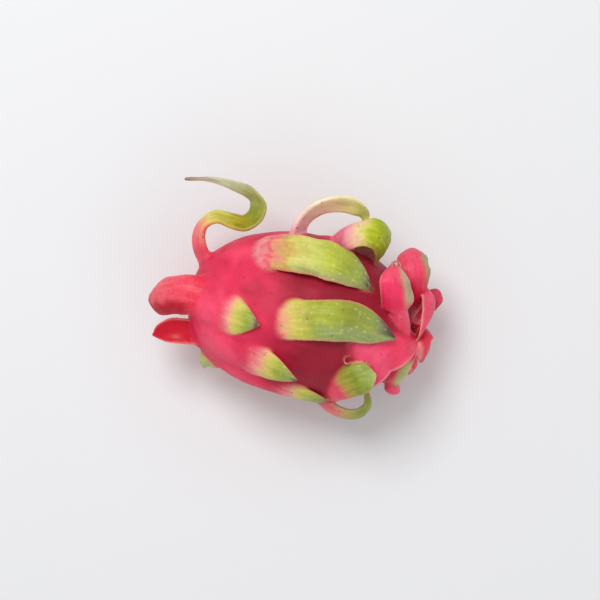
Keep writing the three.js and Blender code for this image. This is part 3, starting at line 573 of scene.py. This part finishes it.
def distance_block(points, quads):
    """Signed distances to a closed loft, on the part of the whole field round it, and where that part is."""
    grid = openvdb.FloatGrid.createLevelSetFromPolygons(
        points.astype(np.float32), quads=quads.astype(np.uint32), transform=transform,
        halfWidth=float(BAND_VOXELS))
    low = np.floor(points.min(0) / VOXEL).astype(int) - BAND_VOXELS - 1
    high = np.ceil(points.max(0) / VOXEL).astype(int) + BAND_VOXELS + 1
    low, high = np.maximum(low, first_cell), np.minimum(high, first_cell + cells)
    distances = np.zeros(high - low, np.float32)
    grid.copyToArray(distances, ijk=whole_numbers(low))
    return distances, tuple(slice(a, b) for a, b in zip(low - first_cell, high - first_cell))


def block_points(block):
    """Where the cells of a part of the whole field lie."""
    axes = [(np.arange(s.start, s.stop) + first_cell[k]) * VOXEL for k, s in enumerate(block)]
    return np.stack(np.meshgrid(*axes, indexing="ij"), axis=-1)


def joined(a, b, blend):
    """The smooth union of two distance fields."""
    overlap = np.clip(blend - np.abs(a - b), 0, None) / blend
    return np.minimum(a, b) - overlap**2 * blend / 4


def foot_blend(scale, block):
    """How broadly a scale flows into the rind at each place round it."""
    foot = catmull_rom(scale["spine"], np.array([FILLET_CENTRE]))[0]
    away = np.linalg.norm(block_points(block) - foot, axis=-1) - scale["half"] * FILLET_CORE
    fade = 1 - smoothstep(FILLET_FADES, FILLET_ENDS, away)
    return (CREASE + (scale.get("fillet", FILLET) - CREASE) * fade).astype(np.float32)


rind_distance = np.full(cells, BAND, np.float32)
distances, block = distance_block(*rind_loft())
rind_distance[block] = distances
whole = rind_distance.copy()
distances, block = distance_block(*stem_loft())
whole[block] = joined(whole[block], distances, STEM_FILLET)

samples, marks, owners = [], [], []
for number, growth in enumerate(GROWTHS):
    points, quads, mark = scale_loft(growth, FIRST_SCALE_SEED + number)
    distances, block = distance_block(points, quads)
    with_rind = joined(rind_distance[block], distances, foot_blend(growth, block))
    whole[block] = np.minimum(joined(whole[block], distances, CREASE), with_rind)
    samples.append(points)
    marks.append(mark)
    owners.append(np.full(len(points), number))
above_rest = ((np.arange(cells[2]) + first_cell[2]) * VOXEL).astype(np.float32)
whole = np.maximum(whole, -above_rest)

grid = openvdb.FloatGrid(float(BAND))
grid.transform = transform
grid.copyFromArray(whole.astype(np.float32), ijk=whole_numbers(first_cell))
points, quads = grid.convertToQuads(0.0)
points, quads = np.array(points, float), np.array(quads, int)

# ---- Smoothing away the grid ----
edges = np.vstack([quads[:, [0, 1]], quads[:, [1, 2]], quads[:, [2, 3]], quads[:, [3, 0]]])
neighbours = np.bincount(edges.ravel(), minlength=len(points))


def neighbour_mean(values):
    """The mean of each point's neighbours."""
    return (np.bincount(edges[:, 0], values[edges[:, 1]], len(points))
            + np.bincount(edges[:, 1], values[edges[:, 0]], len(points))) / neighbours


def smoothed(points):
    """Each round pulls every point towards its neighbours and pushes it out again, to keep the volume."""
    resting = points[:, 2] < RESTS_BELOW
    for _ in range(SMOOTHING_ROUNDS):
        for share in (PULL, PUSH):
            mean = np.stack([neighbour_mean(points[:, k]) for k in range(3)], axis=-1)
            move = share * (mean - points)
            move[resting, 2] = 0
            points = points + move
    return points


points = smoothed(points)

# ---- What each spot is ----
samples, marks, owners = np.vstack(samples), np.vstack(marks), np.concatenate(owners)
tree = KDTree(len(samples))
for i, sample in enumerate(samples):
    tree.insert(sample, i)
tree.balance()
nearest = np.empty(len(points), int)
scale_away = np.empty(len(points))
for i, point in enumerate(points):
    _, nearest[i], scale_away[i] = tree.find(point)


def sampled(field, points):
    """A field of the whole array at each point, between its cells."""
    place = points / VOXEL - first_cell
    base = np.clip(np.floor(place).astype(int), 0, np.array(field.shape) - 2)
    part = place - base
    total = 0
    for corner in np.ndindex(2, 2, 2):
        weight = np.prod(np.where(corner, part, 1 - part), axis=1)
        total = total + weight * field[tuple((base + corner).T)]
    return total


def soft(values, rounds=3):
    """Values averaged over each point's neighbours, so that no colour shows the grid."""
    for _ in range(rounds):
        values = (values + neighbour_mean(values)) / 2
    return values


def look(name):
    """What each spot's own scale says under this name, or nothing."""
    return np.array([growth.get(name, 0.0) for growth in GROWTHS], float)[owner]


owner = owners[nearest]
along, across, face, along_mm, across_mm = marks[nearest].T
is_scale = smoothstep(-1.2, 1.6, sampled(rind_distance, points) - scale_away)
patch = wobble(points, 9, 21)
streak = wobble(np.stack([across_mm / 1.6, along_mm / 9, owner * 5.0], axis=-1), 1.6, 23)


# ---- Its colours ----
def outer_colours():
    """The colour of each spot if it lay in the middle of its scale's outer face."""
    colours = np.empty((len(points), 3))
    place = np.clip(along + UNEVEN * streak + UNEVEN * patch, 0, 1)
    for number, growth in enumerate(GROWTHS):
        mine = owner == number
        colours[mine] = shaded(growth["colours"], place[mine])
    return colours


def scale_colours():
    """The colour of each spot of a scale: its outer face, the colour of one edge, which on some scales is
    painted light or shade, its hollow face and its margin.
    """
    colours = outer_colours()
    sides = [growth.get("side", (0, (0, 0, 0), 0)) for growth in GROWTHS]
    towards, reach = np.array([(side[0], side[2]) for side in sides], float)[owner].T
    side_share = smoothstep(0.9 - reach, 1.35 - reach, across * towards + 0.1 * patch) * (towards != 0)
    side_share = side_share * smoothstep(0.32, 0.5, along)
    colours = mixed(side_share, colours, linear([side[1] for side in sides])[owner])
    inner = linear([growth.get("inner", (0, 0, 0)) for growth in GROWTHS])[owner]
    own_inside = np.array(["inner" in growth for growth in GROWTHS])[owner]
    colours = mixed(smoothstep(0.1, -0.35, face) * own_inside, colours, inner)
    margins = [growth.get("margin", (0, 0, 0, 0)) for growth in GROWTHS]
    at_margin = smoothstep(MARGIN_FROM, MARGIN_FULL, np.abs(across)) * smoothstep(0.12, 0.3, along)
    strength = np.array([margin[3] for margin in margins])[owner]
    return mixed(at_margin * strength, colours, linear([margin[:3] for margin in margins])[owner])


def rind_colours():
    """Painted shade, deep crimson, between the scales, and painted light, bright pink, on the ridges behind
    their feet and towards the stem end.
    """
    painted_light_and_tone = RIDGE_PAINTED_LIGHT * ridge_lift(points)
    painted_light_and_tone = painted_light_and_tone + STEM_END_PAINTED_LIGHT * smoothstep(STEM_END_FROM, STEM_END_TO, points[:, 0]) + PATCH_TONE * patch
    return shaded(RIND_SHADE_TO_LIGHT, painted_light_and_tone + CLOUD_TONE * wobble(points, 22, 31))


from_axis = np.hypot(points[:, 1], points[:, 2] - CENTRE[2])
stem = smoothstep(-LENGTH / 2 + 1, -LENGTH / 2 - 1.2, points[:, 0]) * smoothstep(
    STEM_RADIUS + 2.2, STEM_RADIUS + 0.2, from_axis) * smoothstep(0.5, 2.5, scale_away)
navel = smoothstep(9, 3, from_axis) * (points[:, 0] > 40) * (1 - is_scale)
tint = mixed(is_scale, rind_colours(), scale_colours())
tint = mixed(stem, tint, linear(STEM_COLOUR))
tint = mixed(navel, tint, linear(NAVEL_COLOUR))
tint = np.stack([soft(tint[:, channel], 2) for channel in range(3)], axis=-1)


ATTRIBUTES = {
    "scale": is_scale,
    "along_mm": along_mm + GRAIN_APART * owner,
    "across_mm": across_mm,
    "flecks": soft(look("flecks") * smoothstep(0.1, 0.3, along)) * is_scale,
    "mottled": soft(look("mottled")) * is_scale,
    "worn": np.maximum.reduce([stem, navel, look("worn") * is_scale]),
}


# ---- The mesh ----
def fruit_object():
    """The fruit's skin, with its colours and what the material needs to know stored on its points."""
    mesh = bpy.data.meshes.new(FRUIT + "_skin")
    mesh.from_pydata((points * MM).tolist(), [], quads.tolist())
    mesh.update()
    corner, second, third, _ = points[quads].transpose(1, 0, 2)
    if np.einsum("ij,ij->", corner, np.cross(second, third)) < 0:
        mesh.flip_normals()
    mesh.shade_smooth()
    for name, values in ATTRIBUTES.items():
        attribute = mesh.attributes.new(name, "FLOAT", "POINT")
        attribute.data.foreach_set("value", np.asarray(values, np.float32))
    colours = np.column_stack([np.clip(tint, 0, 1), np.ones(len(points))]).astype(np.float32)
    mesh.attributes.new("tint", "FLOAT_COLOR", "POINT").data.foreach_set("color", colours.ravel())
    made = bpy.data.objects.new(FRUIT + "_skin", mesh)
    bpy.context.scene.collection.objects.link(made)
    return made


# ---- Materials ----
class Nodes:
    """Short calls for the nodes of one material."""

    def __init__(self, name):
        self.material = bpy.data.materials.new(name)
        self.material.use_nodes = True
        self.tree = self.material.node_tree
        self.shader = self.tree.nodes["Principled BSDF"]

    def put(self, socket, value):
        if isinstance(value, bpy.types.NodeSocket):
            self.tree.links.new(value, socket)
        else:
            socket.default_value = value

    def attribute(self, name, output="Fac"):
        node = self.tree.nodes.new("ShaderNodeAttribute")
        node.attribute_name = name
        return node.outputs[output]

    def math(self, operation, a, b=0.0, clamp=False):
        node = self.tree.nodes.new("ShaderNodeMath")
        node.operation = operation
        node.use_clamp = clamp
        self.put(node.inputs[0], a)
        self.put(node.inputs[1], b)
        return node.outputs[0]

    def spread(self, value, low, high, to_low=0.0, to_high=1.0):
        node = self.tree.nodes.new("ShaderNodeMapRange")
        node.interpolation_type = "SMOOTHSTEP"
        for socket, given in zip(node.inputs, (value, low, high, to_low, to_high)):
            self.put(socket, given)
        return node.outputs[0]

    def mix(self, share, a, b, blend="MIX"):
        node = self.tree.nodes.new("ShaderNodeMix")
        node.data_type = "RGBA"
        node.blend_type = blend
        for place, value in ((0, share), (6, a), (7, b)):
            self.put(node.inputs[place], value)
        return node.outputs[2]

    def noise(self, size_mm, detail=3.0, rough=0.5):
        """Noise over the object, with features of about the given size."""
        node = self.tree.nodes.new("ShaderNodeTexNoise")
        self.put(node.inputs["Vector"], self.tree.nodes.new("ShaderNodeTexCoord").outputs["Object"])
        node.inputs["Scale"].default_value = 1 / (size_mm * MM)
        node.inputs["Detail"].default_value = detail
        node.inputs["Roughness"].default_value = rough
        return node.outputs[0]

    def streaks(self, wide_mm, long_mm, detail=3.0):
        """Noise drawn out along each scale."""
        place = self.tree.nodes.new("ShaderNodeCombineXYZ")
        self.put(place.inputs[0], self.math("MULTIPLY", self.attribute("across_mm"), 1 / wide_mm))
        self.put(place.inputs[1], self.math("MULTIPLY", self.attribute("along_mm"), 1 / long_mm))
        node = self.tree.nodes.new("ShaderNodeTexNoise")
        self.put(node.inputs["Vector"], place.outputs[0])
        node.inputs["Scale"].default_value = 1.0
        node.inputs["Detail"].default_value = detail
        return node.outputs[0]

    def bump(self, height, strength, distance_mm, normal=None):
        node = self.tree.nodes.new("ShaderNodeBump")
        node.inputs["Strength"].default_value = strength
        node.inputs["Distance"].default_value = distance_mm * MM
        self.put(node.inputs["Height"], height)
        if normal is not None:
            self.put(node.inputs["Normal"], normal)
        return node.outputs[0]


def rgb(*colour):
    """A node's colour, from red, green and blue as they look on a screen."""
    return (*linear(colour), 1.0)


def skin_material():
    """The skin's look: the colours stored on its points, a finer grain, its sheen and its relief."""
    n = Nodes("dragon_fruit_skin")
    scale, worn = n.attribute("scale"), n.attribute("worn")
    colour = n.attribute("tint", "Color")

    # Fine lengthwise veins on the scales, soft clouds everywhere.
    veins = n.streaks(1.3, 14)
    lighter = n.mix(1.0, colour, rgb(255, 238, 226), "SOFT_LIGHT")
    colour = n.mix(n.math("MULTIPLY", n.spread(veins, 0.45, 0.75, to_high=0.5), scale), colour, lighter)
    deeper = n.mix(1.0, colour, rgb(214, 196, 200), "MULTIPLY")
    clouds = n.noise(9, detail=5, rough=0.65)
    colour = n.mix(n.spread(clouds, 0.42, 0.72, to_high=0.5), colour, deeper)

    # Pale flecks on the green blades, dark specks all over, and where they belong a fine mottling and bark.
    flecks = n.math("MULTIPLY", n.spread(n.streaks(1.1, 2.4, detail=2), 0.58, 0.7), n.attribute("flecks"))
    colour = n.mix(n.math("MULTIPLY", flecks, 0.5), colour, rgb(226, 226, 132))
    specks = n.spread(n.noise(1.7, detail=0), 0.81, 0.83, to_high=0.6)
    colour = n.mix(specks, colour, rgb(96, 52, 40))
    grain = n.noise(0.9, detail=4, rough=0.65)
    mottling = n.spread(n.noise(1.8, detail=4, rough=0.7), 0.4, 0.66)
    mottling = n.math("MULTIPLY", mottling, n.attribute("mottled"))
    colour = n.mix(n.math("MULTIPLY", mottling, 0.45), colour, rgb(216, 24, 60))
    rough_bark = n.mix(1.0, colour, rgb(176, 160, 150), "MULTIPLY")
    colour = n.mix(n.math("MULTIPLY", n.spread(grain, 0.4, 0.62), worn), colour, rough_bark)
    n.put(n.shader.inputs["Base Color"], colour)

    # The rind is duller than the waxy scales, and whatever has dried is dullest.
    rind_rough = n.spread(n.noise(6), 0.2, 0.8, to_low=0.52, to_high=0.64)
    living_rough = n.math("SUBTRACT", rind_rough, n.math("MULTIPLY", scale, 0.17))
    rough = n.math("ADD", living_rough, n.math("MULTIPLY", worn, 0.35), clamp=True)
    n.put(n.shader.inputs["Roughness"], rough)
    n.shader.inputs["Specular IOR Level"].default_value = 0.32

    # The relief: pores, wrinkles, ribs along the veins, and bark.
    pores = n.bump(n.noise(0.9, detail=2), strength=0.14, distance_mm=0.25)
    wrinkles = n.bump(n.noise(3.5, detail=4, rough=0.6), strength=0.3, distance_mm=0.7, normal=pores)
    ribs = n.bump(n.math("MULTIPLY", veins, scale), strength=0.45, distance_mm=0.5, normal=wrinkles)
    bark = n.bump(n.math("MULTIPLY", grain, worn), strength=0.5, distance_mm=0.5, normal=ribs)
    n.put(n.shader.inputs["Normal"], bark)
    return n.material


fruit = fruit_object()
fruit.data.materials.append(skin_material())
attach(fruit, "root")
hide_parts(FRUIT)


# ---- Surface, light and camera ----
FLOOR_SIZE = 3.0
AIMED_AT = (0, 0, 0.03)
VIEW_MIDDLE, VIEW_FROM, VIEW_TURN = (-0.00124, 0.00703), 1.0, math.radians(10)
VIEW_WIDTH, VIEW_HEIGHT = 0.2856, 0.038  # how wide the view is, and at which height above the floor


def floor_object():
    """A plain pale surface under the fruit."""
    bpy.ops.mesh.primitive_plane_add(size=FLOOR_SIZE, location=(0, 0, 0))
    floor = bpy.context.object
    floor.name = "floor"
    n = Nodes("pale_surface")
    n.put(n.shader.inputs["Base Color"], rgb(236, 237, 239))
    n.put(n.shader.inputs["Roughness"], 0.9)
    floor.data.materials.append(n.material)


def area_light(name, place, size, power):
    """A round lamp aimed at the middle of the fruit."""
    light = bpy.data.lights.new(name, "AREA")
    light.shape = "DISK"
    light.size = size
    light.energy = power
    made = bpy.data.objects.new(name, light)
    bpy.context.scene.collection.objects.link(made)
    made.location = place
    made.rotation_euler = (Vector(AIMED_AT) - Vector(place)).to_track_quat("-Z", "Y").to_euler()


def world_light(strength):
    """Even white light from all sides."""
    world = bpy.data.worlds.new("studio")
    bpy.context.scene.world = world
    world.use_nodes = True
    background = world.node_tree.nodes["Background"]
    background.inputs["Color"].default_value = (1, 1, 1, 1)
    background.inputs["Strength"].default_value = strength


def camera():
    """Looks straight down, turned a little round the upright axis."""
    data = bpy.data.cameras.new("camera")
    made = bpy.data.objects.new("camera", data)
    bpy.context.scene.collection.objects.link(made)
    made.location = (*VIEW_MIDDLE, VIEW_FROM)
    made.rotation_euler = (0, 0, VIEW_TURN)
    data.sensor_width = 36
    data.lens = data.sensor_width * (VIEW_FROM - VIEW_HEIGHT) / VIEW_WIDTH
    bpy.context.scene.camera = made


floor_object()
area_light("key", place=(-0.3, 0.4, 1.0), size=0.5, power=6)
area_light("fill", place=(0.6, -0.5, 0.8), size=0.9, power=1.2)
world_light(strength=0.55)
camera()
bpy.context.scene.view_settings.view_transform = "Standard"
